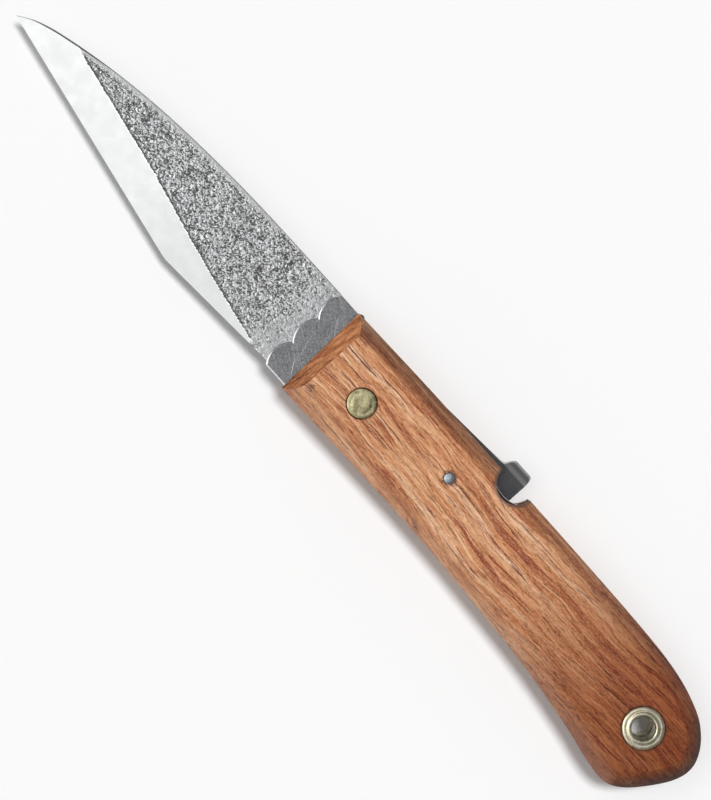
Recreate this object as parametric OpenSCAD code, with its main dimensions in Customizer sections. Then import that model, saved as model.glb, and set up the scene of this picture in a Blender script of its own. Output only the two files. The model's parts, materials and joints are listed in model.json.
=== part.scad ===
// Folding woodcarving knife with a locking leaf, shown open.
// X runs from the blade's tip to the handle's butt, Y from the belly to the back,
// Z through the thickness. The knife lies on its far scale, at Z = 0.

/* [Handle] */
// Thickness of each wooden scale
scale_t = 5; // [4.5:0.1:6]
// Thickness of each steel liner
liner_t = 1; // [0.8:0.1:1.2]
// Gap between the blade and each liner, filled by a washer at the pivot
side_gap = 0.35; // [0.3:0.05:0.45]
// Radius of the thumb notch in the back of the scales
notch_r = 4.75; // [4.6:0.05:4.9]
// Radius of each of the three scallops at the front of a liner
scallop_r = 5.4; // [5:0.1:6]
// How far the slanted facet at a scale's front end runs back
facet_run = 3.3; // [2:0.1:4]

/* [Blade] */
// Thickness of the blade
blade_t = 3; // [2.6:0.1:3.4]
// Distance from the pivot to the tip
tip_reach = 113; // [110:0.5:114]
// Width of the single bevel, measured across the cutting edge
bevel_w = 7.6; // [6.5:0.1:8]
// Thickness left at the cutting edge
edge_t = 0.15; // [0.1:0.05:0.3]

/* [Lock leaf] */
// Length of the thumb tab, beyond its bend
tab_len = 2.8; // [2.5:0.1:3]
// Bend of the thumb tab towards the near side
tab_bend = 38; // [30:1:45]
// Gap around the leaf in the far liner
leaf_gap = 0.25; // [0.2:0.05:0.3]

/* [Fasteners] */
// Radius of the pivot's shaft
pivot_r = 2.4; // [2:0.1:2.6]
// Radius of the pivot's domed heads
head_r = 3.25; // [3:0.05:3.4]
// Radius of the short pins that hold the scales
scale_pin_r = 1.15; // [1:0.05:1.3]
// Radius of the stop pin and of the spacer's pins
stop_pin_r = 1; // [0.9:0.05:1]
// Inner radius of the lanyard eyelets
eyelet_r = 2.55; // [2.4:0.05:2.7]
// Outer radius of the eyelets' rolled lips
lip_r = 4.7; // [4.5:0.05:4.9]

/* [Hidden] */
$fn = 48;

// Levels through the thickness, from the far face up
far_liner_z = scale_t;
blade_z = far_liner_z + liner_t + side_gap;
near_liner_z = blade_z + blade_t + side_gap;
near_scale_z = near_liner_z + liner_t;
top_z = near_scale_z + scale_t;

// The pivot's place in the part's frame, whose origin is below the middle of the part
hook_depth = 15.25;
tab_top = 16.85;
butt_reach = 106.01;
pivot_x = (tip_reach - butt_reach) / 2;
pivot_y = (hook_depth - tab_top) / 2;

// Places in the plane of the knife, measured from the pivot
notch_at = [35.2, 13.4];
liner_notch_at = [35.1, 16.6];
liner_notch_r = 7;
stop_at = [-13.9, 11.9];
scale_pin_at = [24.5, 3.4];
eyelet_at = [92.1, -1.2];
spacer_pins_at = [[58, 10.8], [88, 9.6]];

// Depths of the recesses and of what sits in them
head_h = 1.3;
head_gap = 0.3;
dome_h = 0.25;
lip_h = 1;
lip_proud = 0.5;
tube_wall = 0.5;
running = 0.05;
leaf_lift = 0.05;
leaf_t = liner_t - leaf_lift;
liner_inset = 0.15;
washer_r = 6;
washer_t = side_gap - 0.02;
spacer_w = 3.9;

// Each step of a scale's rounded edge: how far in, and the height that it reaches
edge_steps = [[0, 1.6], [0.7, 2.4], [1.4, 3.1], [2.1, 3.8], [2.8, 4.4], [3.5, scale_t]];

// The scales' outline: along the belly, round the butt and back along the back
handle_line = [[-14, -10.65], [10, -10.15], [28, -9.95], [44, -10.35], [66, -11.5],
    [82, -13.45], [90, -14.9], [95.4, -15.1], [99.2, -12.9], [102.8, -8.2], [105.3, -3.6],
    [106, 0.4], [104.7, 4], [101.7, 7.3], [97, 9.95], [88, 12.15], [74, 13], [42, 13.2],
    [10, 13.05], [-14.9, 12.5]];
handle_steps = 4;

// The spine, from the ricasso to the tip
spine_line = [[-15.3, 12.4], [-31, 12.3], [-48, 12], [-63, 11.2], [-77, 9.85], [-90, 7.75],
    [-102, 4.95], [-108.5, 2.75], [-tip_reach, 0]];
heel = [-51.9, -11];
heel_round = 1.5;
ricasso_low = [-20, -9.1];
tang_r = 12.6;
tang_low = -8.6;
lock_corner = [9, 8.85];
lock_slope = 15;

// The leaf's outline, without its tab
nose_x = 6;
leaf_low = 9;
nose_low = 9.81;
leaf_foot = 4.8;
leaf_high = 12.3;
leaf_root_x = 44;
bend_y = 14.35;
tab_x = [30.4, 37.1];
leaf_line = [[nose_x, nose_low], [9, leaf_low], [33.6, leaf_low], [34.9, 8.2], [35.7, 6.2],
    [37.4, leaf_foot],
    [leaf_root_x, leaf_foot], [leaf_root_x, leaf_high], [40.8, leaf_high], [39.6, 11],
    [38.4, 9.6], [tab_x[1], 9.3], [tab_x[1], bend_y], [tab_x[0], bend_y], [nose_x, 12.75]];

function unit(v) = v / norm(v);

// A smooth curve through the points, with n steps between each two
function spline(p0, p1, p2, p3, t) = 0.5 * (2 * p1 + (p2 - p0) * t
    + (2 * p0 - 5 * p1 + 4 * p2 - p3) * t * t + (3 * p1 - p0 - 3 * p2 + p3) * t * t * t);
function smooth(pts, n) = [for (i = [0:len(pts) - 2]) for (j = [0:n - 1])
    spline(pts[max(i - 1, 0)], pts[i], pts[i + 1], pts[min(i + 2, len(pts) - 1)], j / n),
    pts[len(pts) - 1]];

// A counterclockwise outline moved inwards by d
function inset(pts, d) = [for (i = [0:len(pts) - 1])
    let (a = pts[(i + len(pts) - 1) % len(pts)], b = pts[i], c = pts[(i + 1) % len(pts)],
        u = unit(b - a), v = unit(c - b), n = [-u.y - v.y, u.x + v.x])
    b + 2 * d * n / (n * n)];

handle_curve = smooth(handle_line, handle_steps);

// A scale's outline runs on past its front end, which the facet's cut takes off
front_mid = [-14.45, 0.95];
front_turn = 2.25;
scale_curve = concat([[-21, handle_line[0].y - 0.1]],
    [for (i = [1:len(handle_curve) - 2]) handle_curve[i]], [[-21, 12.4]]);

// Moves a piece from the pivot's frame to the part's
module at_pivot() {
    translate([pivot_x, pivot_y, 0]) children();
}

module rod(at, r, z0, z1) {
    translate([at.x, at.y, z0]) cylinder(r = r, h = z1 - z0);
}

// A scale's body, from its flat inner face at Z = 0 up to its outer face
module scale_block() {
    for (step = edge_steps)
        linear_extrude(height = step[1]) polygon(inset(scale_curve, step[0]));
}

// What is cut from a scale: the notch, the holes, the recesses and the front facet
module scale_cuts(lip_depth, head_depth) {
    rod(notch_at, notch_r, -1, scale_t + 1);
    rod([0, 0], pivot_r, -1, scale_t + 1);
    rod([0, 0], head_r + head_gap, scale_t - head_depth, scale_t + 1);
    rod(scale_pin_at, scale_pin_r, -1, scale_t + 1);
    rod(eyelet_at, eyelet_r + tube_wall, -1, scale_t + 1);
    rod(eyelet_at, lip_r, scale_t - lip_depth, scale_t + 1);
    translate([front_mid.x, front_mid.y, 0]) rotate([90, 0, front_turn])
        linear_extrude(height = 60, center = true)
            polygon([[-20, -1], [0, -1], [0, 1.4], [facet_run + 0.08, scale_t + 0.1],
                [-20, scale_t + 0.1]]);
}

module near_scale() {
    color("peru") at_pivot() translate([0, 0, near_scale_z]) difference() {
        scale_block();
        scale_cuts(lip_h - lip_proud, head_h);
    }
}

module far_scale() {
    color("peru") at_pivot() translate([0, 0, scale_t]) mirror([0, 0, 1]) difference() {
        scale_block();
        scale_cuts(lip_h, head_h + dome_h);
    }
}

// A liner's outline: the handle's, and a bolster with three scallops in front of it
module liner_shape() {
    polygon(inset(handle_curve, liner_inset));
    intersection() {
        translate([-22, -9.9]) square([12, 22.3]);
        union() {
            for (y = [-6.2, 1.45, 8.9]) translate([-16.1, y]) circle(r = scallop_r);
            translate([-16.1, -10]) square([8, 24]);
        }
    }
}

// A liner's holes, which its pins, rivet and eyelet fill
module liner_holes(z0) {
    rod([0, 0], pivot_r, z0 - 1, z0 + liner_t + 1);
    rod(stop_at, stop_pin_r, z0 - 1, z0 + liner_t + 1);
    rod(scale_pin_at, scale_pin_r, z0 - 1, z0 + liner_t + 1);
    rod(eyelet_at, eyelet_r + tube_wall, z0 - 1, z0 + liner_t + 1);
    for (at = spacer_pins_at) rod(at, stop_pin_r, z0 - 1, z0 + liner_t + 1);
}

module near_liner() {
    color("gray") at_pivot() difference() {
        translate([0, 0, near_liner_z]) linear_extrude(height = liner_t) liner_shape();
        liner_holes(near_liner_z);
        rod(liner_notch_at, liner_notch_r, near_liner_z - 1, near_scale_z + 1);
    }
}

module far_liner() {
    color("gray") at_pivot() difference() {
        translate([0, 0, far_liner_z]) linear_extrude(height = liner_t) liner_shape();
        liner_holes(far_liner_z);
        rod(notch_at, notch_r, far_liner_z - 1, far_liner_z + liner_t + 1);
        translate([0, 0, far_liner_z - 1]) linear_extrude(height = liner_t + 2)
            leaf_window();
    }
}

// The opening for the leaf, which runs out through the back
module leaf_window() {
    back = 14;
    polygon(concat([for (i = [0:7]) inset(leaf_line, -leaf_gap)[i]],
        [[40.6, leaf_high + leaf_gap], [39.5, back], [nose_x - leaf_gap, back]]));
}

module lock_leaf() {
    color("dimgray") at_pivot() {
        translate([0, 0, far_liner_z + leaf_lift]) linear_extrude(height = leaf_t)
            polygon(leaf_line);
        translate([0, bend_y, far_liner_z + leaf_lift + leaf_t / 2]) {
            translate([tab_x[0], 0, 0]) rotate([0, 90, 0])
                cylinder(r = leaf_t / 2, h = tab_x[1] - tab_x[0]);
            rotate([tab_bend, 0, 0]) translate([0, 0, -leaf_t / 2])
                linear_extrude(height = leaf_t) polygon([[tab_x[0], 0], [tab_x[1], 0],
                    [tab_x[1] - 0.3, tab_len - 0.6], [tab_x[1] - 0.9, tab_len],
                    [tab_x[0] + 1.1, tab_len], [tab_x[0] + 0.2, 0.9]]);
        }
    }
}

// The strip that holds the liners apart along the back and round the butt
module back_spacer() {
    inner = inset(handle_curve, spacer_w);
    color("gray") at_pivot() translate([0, 0, far_liner_z + liner_t])
        linear_extrude(height = near_liner_z - far_liner_z - liner_t) difference() {
            polygon(inset(handle_curve, liner_inset));
            polygon(inner);
            translate([-30, -30]) square([77, 60]);
            translate([40, -30]) square([80, 30]);
            for (at = spacer_pins_at) translate(at) circle(r = stop_pin_r);
        }
}

// The blade's outline: the tip, the spine, the tang round the pivot and the two lower edges
module blade_shape() {
    difference() {
        union() {
            polygon(concat([heel + [-0.8, 0.05], heel + [1.6, 0.1], ricasso_low,
                [-6, tang_low], [0, 0], [-7.4, 10.1], [-13, 10.4]], smooth(spine_line, 3)));
            translate([heel.x + 0.2, heel.y + heel_round + 0.05]) circle(r = heel_round);
            intersection() {
                circle(r = tang_r);
                polygon([[-13, tang_low], [lock_corner.x, tang_low], lock_corner,
                    lock_corner + 24 * [-cos(lock_slope), sin(lock_slope)], [-13, 15]]);
            }
        }
        translate(stop_at) circle(r = stop_pin_r + 0.3);
        circle(r = pivot_r + running);
    }
}

// The wedge that leaves the single bevel on the near side, with its point on the cutting edge
module bevel_cut() {
    run = heel - [-tip_reach, 0];
    slope = (blade_t - edge_t) / bevel_w;
    translate([-tip_reach, 0, 0]) rotate([0, 0, atan2(run.y, run.x)]) translate([-5, 0, 0])
        rotate([90, 0, 90]) linear_extrude(height = 110)
            polygon([[-4, edge_t - 4 * slope], [bevel_w + 1, blade_t + slope], [bevel_w + 1, 9],
                [-4, 9]]);
}

module blade() {
    color("silver") at_pivot() translate([0, 0, blade_z]) difference() {
        linear_extrude(height = blade_t) blade_shape();
        bevel_cut();
    }
}

// The rivet's domed head: a low disc with a shallow dome on it
module rivet_head() {
    dome_r = (head_r * head_r + dome_h * dome_h) / (2 * dome_h);
    cylinder(r = head_r, h = head_h);
    translate([0, 0, head_h]) intersection() {
        cylinder(r = head_r, h = dome_h);
        translate([0, 0, dome_h - dome_r]) sphere(r = dome_r, $fn = 96);
    }
}

module pivot_rivet() {
    color("darkkhaki") at_pivot() {
        rod([0, 0], pivot_r, head_h, top_z - head_h);
        translate([0, 0, top_z - head_h]) rivet_head();
        translate([0, 0, head_h + dome_h]) mirror([0, 0, 1]) rivet_head();
    }
}

module washer(z0) {
    color("goldenrod") at_pivot() difference() {
        rod([0, 0], washer_r, z0, z0 + washer_t);
        rod([0, 0], pivot_r, z0 - 1, z0 + 1);
    }
}

module near_washer() {
    washer(near_liner_z - washer_t);
}

module far_washer() {
    washer(far_liner_z + liner_t);
}

module stop_pin() {
    color("dimgray") at_pivot() rod(stop_at, stop_pin_r, far_liner_z, near_scale_z);
}

module near_scale_pin() {
    color("lightsteelblue") at_pivot() rod(scale_pin_at, scale_pin_r, near_liner_z, top_z);
}

module far_scale_pin() {
    color("lightsteelblue") at_pivot()
        rod(scale_pin_at, scale_pin_r, 0, far_liner_z + liner_t);
}

module spacer_pins() {
    color("silver") at_pivot()
        for (at = spacer_pins_at) rod(at, stop_pin_r, far_liner_z, near_scale_z);
}

// An eyelet: a tube of length h from Z = 0 up, with its rolled lip at the top
module eyelet(h) {
    tube_r = eyelet_r + tube_wall;
    rotate_extrude($fn = 64) polygon([[eyelet_r, 0], [tube_r, 0], [tube_r, h - lip_h],
        [lip_r, h - lip_h], [lip_r, h - 0.55 * lip_h], [lip_r - 0.35, h - 0.15 * lip_h],
        [lip_r - 1, h], [eyelet_r + 0.75, h], [eyelet_r + 0.2, h - 0.2 * lip_h],
        [eyelet_r, h - 0.6 * lip_h]]);
}

module near_eyelet() {
    color("khaki") at_pivot() translate([eyelet_at.x, eyelet_at.y, near_liner_z])
        eyelet(top_z + lip_proud - near_liner_z);
}

module far_eyelet() {
    color("khaki") at_pivot() translate([eyelet_at.x, eyelet_at.y, far_liner_z + liner_t])
        mirror([0, 0, 1]) eyelet(far_liner_z + liner_t);
}

blade();
near_scale();
far_scale();
near_liner();
far_liner();
lock_leaf();
back_spacer();
pivot_rivet();
near_washer();
far_washer();
stop_pin();
near_scale_pin();
far_scale_pin();
spacer_pins();
near_eyelet();
far_eyelet();
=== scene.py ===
import json
import math

import bmesh
import bpy
import numpy as np
from mathutils import Matrix, Vector, noise


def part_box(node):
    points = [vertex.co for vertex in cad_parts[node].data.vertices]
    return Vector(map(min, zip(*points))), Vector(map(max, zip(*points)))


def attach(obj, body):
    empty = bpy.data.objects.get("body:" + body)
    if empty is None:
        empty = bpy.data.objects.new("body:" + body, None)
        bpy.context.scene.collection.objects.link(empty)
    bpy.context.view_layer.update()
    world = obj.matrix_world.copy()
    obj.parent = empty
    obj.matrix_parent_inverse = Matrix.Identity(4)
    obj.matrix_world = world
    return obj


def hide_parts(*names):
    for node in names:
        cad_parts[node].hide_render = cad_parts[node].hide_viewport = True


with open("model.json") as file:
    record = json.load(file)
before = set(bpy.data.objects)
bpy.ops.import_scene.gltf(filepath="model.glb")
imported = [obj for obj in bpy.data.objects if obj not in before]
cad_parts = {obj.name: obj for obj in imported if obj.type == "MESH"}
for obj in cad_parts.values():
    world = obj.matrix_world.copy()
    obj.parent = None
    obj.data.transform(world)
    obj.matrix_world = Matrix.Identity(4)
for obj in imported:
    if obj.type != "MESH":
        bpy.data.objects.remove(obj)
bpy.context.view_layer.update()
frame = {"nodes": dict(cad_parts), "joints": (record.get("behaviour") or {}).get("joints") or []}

MM = 0.001
scene = bpy.context.scene
scene.view_settings.view_transform = "Standard"
# noise_vector starts from the clock unless it has a seed
noise.seed_set(5)

# The pivot's axis is where every measure below starts from, in millimetres
pivot = [j for j in frame["joints"] if j["name"] == "blade_fold"][0]["pos_m"]
PX, PY = pivot[0] / MM, pivot[1] / MM


def level(node, top):
    """The height of a CAD node's lowest or highest point, in millimetres."""
    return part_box(node)[1 if top else 0].z / MM


NEAR_0 = level("near_scale", False)
FAR_0, FAR_1 = level("far_scale", False), level("far_scale", True)
SCALE_T = FAR_1 - FAR_0
LINER_T = level("near_liner", True) - level("near_liner", False)
BLADE_0, BLADE_1 = level("blade", False), level("blade", True)

# ---------------------------------------------------------------- outlines

HANDLE = [(-14, -10.65), (10, -10.15), (28, -9.95), (44, -10.35), (66, -11.5), (82, -13.45),
          (90, -14.9), (95.4, -15.1), (99.2, -12.9), (102.8, -8.2), (105.3, -3.6), (106, 0.4),
          (104.7, 4), (101.7, 7.3), (97, 9.95), (88, 12.15), (74, 13), (42, 13.2), (10, 13.05),
          (-14.9, 12.5)]
TIP_X = -113
SPINE = [(-15.3, 12.4), (-31, 12.3), (-48, 12), (-63, 11.2), (-77, 9.85), (-90, 7.75),
         (-102, 4.95), (-108.5, 2.75), (TIP_X, 0)]
NOTCH, NOTCH_R = (35.2, 13.4), 4.75
LINER_NOTCH, LINER_NOTCH_R = (35.1, 16.6), 7
STOP = (-13.9, 11.9)
SCALE_PIN, SCALE_PIN_R = (24.5, 3.4), 1.15
EYELET, EYELET_R, TUBE_R, LIP_R = (92.1, -1.2), 2.55, 3.05, 4.7
SPACER_PINS, PIN_R = [(58, 10.8), (88, 9.6)], 1
SPACER_FRONT, SPACER_W = 47, 3.9
PIVOT_R, HEAD_R = 2.4, 3.25


def smooth(pts, n):
    """A Catmull-Rom curve through the points, with n steps between each two."""
    out = []
    for i in range(len(pts) - 1):
        p = [Vector(pts[min(max(i + k, 0), len(pts) - 1)]) for k in (-1, 0, 1, 2)]
        for j in range(n):
            t = j / n
            out.append(0.5 * (2 * p[1] + (p[2] - p[0]) * t
                              + (2 * p[0] - 5 * p[1] + 4 * p[2] - p[3]) * t * t
                              + (3 * p[1] - p[0] - 3 * p[2] + p[3]) * t ** 3))
    return out + [Vector(pts[-1])]


def inset(pts, d):
    """A counterclockwise outline moved inwards by d."""
    out = []
    for i, b in enumerate(pts):
        u = (b - pts[i - 1]).normalized()
        v = (pts[(i + 1) % len(pts)] - b).normalized()
        n = Vector((-u.y - v.y, u.x + v.x))
        out.append(b + 2 * d * n / n.length_squared)
    return out


def arc(centre, r, a0, a1, n):
    """Points of an arc from angle a0 to a1, in degrees."""
    return [Vector((centre[0] + r * math.cos(math.radians(a0 + (a1 - a0) * i / n)),
                    centre[1] + r * math.sin(math.radians(a0 + (a1 - a0) * i / n))))
            for i in range(n + 1)]


# ---------------------------------------------------------------- mesh makers


def piece(name, bm):
    """A new object from a bmesh that holds millimetres from the pivot."""
    bmesh.ops.recalc_face_normals(bm, faces=bm.faces)
    bmesh.ops.transform(bm, matrix=Matrix.Diagonal((MM, MM, MM, 1))
                        @ Matrix.Translation((PX, PY, 0)), verts=bm.verts)
    me = bpy.data.meshes.new(name)
    bm.to_mesh(me)
    bm.free()
    ob = bpy.data.objects.new(name, me)
    scene.collection.objects.link(ob)
    return ob


def stack(bm, rings):
    """Closes a solid from outlines of equal length, each a list of (x, y, z)."""
    loops = [[bm.verts.new(p) for p in ring] for ring in rings]
    n = len(loops[0])
    for a, b in zip(loops, loops[1:]):
        for i in range(n):
            bm.faces.new((a[i], a[(i + 1) % n], b[(i + 1) % n], b[i]))
    bm.faces.new(loops[0][::-1])
    bm.faces.new(loops[-1])
    return bm


def flat(pts, z):
    """A level ring of points."""
    return [(p[0], p[1], z) for p in pts]


# How far in and how far down an eased edge runs, in parts of its width
EASE = ((1, 0), (0.3, 0.32), (0, 0.78))


def plate(pts, z0, z1, edge):
    """A plate with its edges eased all round."""
    low = [flat(inset(pts, edge * d), z0 + edge * h) for d, h in EASE]
    high = [flat(inset(pts, edge * d), z1 - edge * h) for d, h in EASE[::-1]]
    return stack(bmesh.new(), low + high)


def lathe(bm, at, profile, n=96, closed=False):
    """Turns (radius, z) points round a vertical axis. Radius 0 ends close the solid."""
    rings = []
    for r, z in profile:
        if r < 1e-6:
            rings.append([bm.verts.new((at[0], at[1], z))])
        else:
            rings.append([bm.verts.new((at[0] + r * math.cos(2 * math.pi * i / n),
                                        at[1] + r * math.sin(2 * math.pi * i / n), z))
                          for i in range(n)])
    pairs = list(zip(rings, rings[1:])) + ([(rings[-1], rings[0])] if closed else [])
    for a, b in pairs:
        for i in range(n):
            k = (i + 1) % n
            if len(a) == 1:
                bm.faces.new((a[0], b[k], b[i]))
            elif len(b) == 1:
                bm.faces.new((a[i], a[k], b[0]))
            else:
                bm.faces.new((a[i], a[k], b[k], b[i]))
    return bm


def rod(at, r, z0, z1, n=40):
    """A plain round cutter."""
    return piece("cutter", lathe(bmesh.new(), at, [(0, z0), (r, z0), (r, z1), (0, z1)], n))


def cut(ob, *cutters):
    """Cuts each solid from ob and removes it."""
    for c in cutters:
        m = ob.modifiers.new("cut", "BOOLEAN")
        m.operation, m.solver, m.object = "DIFFERENCE", "MANIFOLD", c
    bake(ob)
    for c in cutters:
        bpy.data.objects.remove(c)


def bake(ob):
    """Applies ob's modifiers."""
    bpy.context.view_layer.update()
    dg = bpy.context.evaluated_depsgraph_get()
    me = bpy.data.meshes.new_from_object(ob.evaluated_get(dg), depsgraph=dg)
    old = ob.data
    ob.modifiers.clear()
    ob.data = me
    bpy.data.meshes.remove(old)
    me.name = ob.name


def tidy(ob, angle=32, merge=0.004):
    """Merges stray points, and shades smooth but for the sharp edges."""
    bm = bmesh.new()
    bm.from_mesh(ob.data)
    bmesh.ops.remove_doubles(bm, verts=bm.verts, dist=merge * MM)
    bmesh.ops.dissolve_degenerate(bm, edges=bm.edges, dist=0.002 * MM)
    bmesh.ops.recalc_face_normals(bm, faces=bm.faces)
    bm.to_mesh(ob.data)
    bm.free()
    for p in ob.data.polygons:
        p.use_smooth = True
    ob.data.set_sharp_from_angle(angle=math.radians(angle))
    w = ob.modifiers.new("even", "WEIGHTED_NORMAL")
    w.keep_sharp, w.weight = True, 60


def settle(ob, body, slot, *nodes):
    """Puts ob in place of CAD nodes, on a moving body; slot is not used."""
    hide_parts(*nodes)
    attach(ob, body)


# ---------------------------------------------------------------- material kit


class Kit:
    """Builds one node material, in millimetres from the pivot."""

    def __init__(self, name):
        self.mat = bpy.data.materials.new(name)
        self.mat.use_nodes = True
        self.nt = self.mat.node_tree
        self.bsdf = self.nt.nodes["Principled BSDF"]
        tc = self.add("ShaderNodeTexCoord")
        mp = self.add("ShaderNodeMapping")
        mp.inputs["Scale"].default_value = (1 / MM,) * 3
        mp.inputs["Location"].default_value = (-PX, -PY, 0)
        self.link(tc.outputs["Object"], mp.inputs["Vector"])
        self.at = mp.outputs["Vector"]

    def add(self, kind):
        return self.nt.nodes.new(kind)

    def link(self, a, b):
        self.nt.links.new(a, b)

    def put(self, value, socket):
        if isinstance(value, bpy.types.NodeSocket):
            self.link(value, socket)
        else:
            socket.default_value = value

    def scaled(self, scale, turn=0.0, base=None):
        mp = self.add("ShaderNodeMapping")
        mp.vector_type = "POINT"
        mp.inputs["Scale"].default_value = scale
        mp.inputs["Rotation"].default_value = (0, 0, math.radians(turn))
        self.link(base or self.at, mp.inputs["Vector"])
        return mp.outputs["Vector"]

    def turned(self, turn, scale):
        """Turns the coordinates about Z first, then scales them."""
        return self.scaled(scale, 0, self.scaled((1, 1, 1), turn))

    def noise(self, vector, scale=1.0, detail=3.0, rough=0.55, warp=0.0):
        n = self.add("ShaderNodeTexNoise")
        self.link(vector, n.inputs["Vector"])
        n.inputs["Scale"].default_value = scale
        n.inputs["Detail"].default_value = detail
        n.inputs["Roughness"].default_value = rough
        n.inputs["Distortion"].default_value = warp
        return n.outputs["Fac"]

    def math(self, op, a, b=0.0, clamp=False):
        m = self.add("ShaderNodeMath")
        m.operation, m.use_clamp = op, clamp
        self.put(a, m.inputs[0])
        self.put(b, m.inputs[1])
        return m.outputs[0]

    def distance(self, at):
        """Distance from an upright line through at."""
        m = self.add("ShaderNodeVectorMath")
        m.operation = "DISTANCE"
        flat_at = self.add("ShaderNodeCombineXYZ")
        self.link(self.axis("X"), flat_at.inputs[0])
        self.link(self.axis("Y"), flat_at.inputs[1])
        self.link(flat_at.outputs[0], m.inputs[0])
        m.inputs[1].default_value = (at[0], at[1], 0)
        return m.outputs["Value"]

    def span(self, value, a, b, lo=0.0, hi=1.0, soft=True):
        m = self.add("ShaderNodeMapRange")
        m.interpolation_type = "SMOOTHSTEP" if soft else "LINEAR"
        self.put(value, m.inputs["Value"])
        for key, v in (("From Min", a), ("From Max", b), ("To Min", lo), ("To Max", hi)):
            m.inputs[key].default_value = v
        return m.outputs["Result"]

    def mix(self, fac, a, b, blend="MIX"):
        m = self.add("ShaderNodeMix")
        m.data_type, m.blend_type = "RGBA", blend
        self.put(fac, m.inputs["Factor"])
        self.put(a, m.inputs[6])
        self.put(b, m.inputs[7])
        return m.outputs[2]

    def ramp(self, fac, *stops):
        r = self.add("ShaderNodeValToRGB")
        self.put(fac, r.inputs["Fac"])
        el = r.color_ramp.elements
        while len(el) < len(stops):
            el.new(0.5)
        for e, (pos, col) in zip(el, stops):
            e.position, e.color = pos, col
        return r.outputs["Color"]

    def axis(self, which, base=None):
        s = self.add("ShaderNodeSeparateXYZ")
        self.link(base or self.at, s.inputs[0])
        return s.outputs["XYZ".index(which)]

    def attribute(self, name):
        a = self.add("ShaderNodeAttribute")
        a.attribute_name = name
        return a.outputs["Fac"]

    def bump(self, *layers):
        """Each layer is (height in mm, depth in mm)."""
        out = None
        for h, depth in layers:
            b = self.add("ShaderNodeBump")
            b.inputs["Distance"].default_value = depth * MM
            b.inputs["Strength"].default_value = 1.0
            self.link(h, b.inputs["Height"])
            if out:
                self.link(out, b.inputs["Normal"])
            out = b.outputs["Normal"]
        self.link(out, self.bsdf.inputs["Normal"])

    def finish(self, colour, rough, metal=0.0, **more):
        self.put(colour, self.bsdf.inputs["Base Color"])
        self.put(rough, self.bsdf.inputs["Roughness"])
        self.bsdf.inputs["Metallic"].default_value = metal
        for key, v in more.items():
            self.bsdf.inputs[key.replace("_", " ")].default_value = v
        return self


def srgb(r, g, b):
    """A colour given as 0 to 255, in linear light."""
    return tuple((c / 255 / 12.92 if c <= 10 else ((c / 255 + 0.055) / 1.055) ** 2.4)
                 for c in (r, g, b)) + (1.0,)


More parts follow.
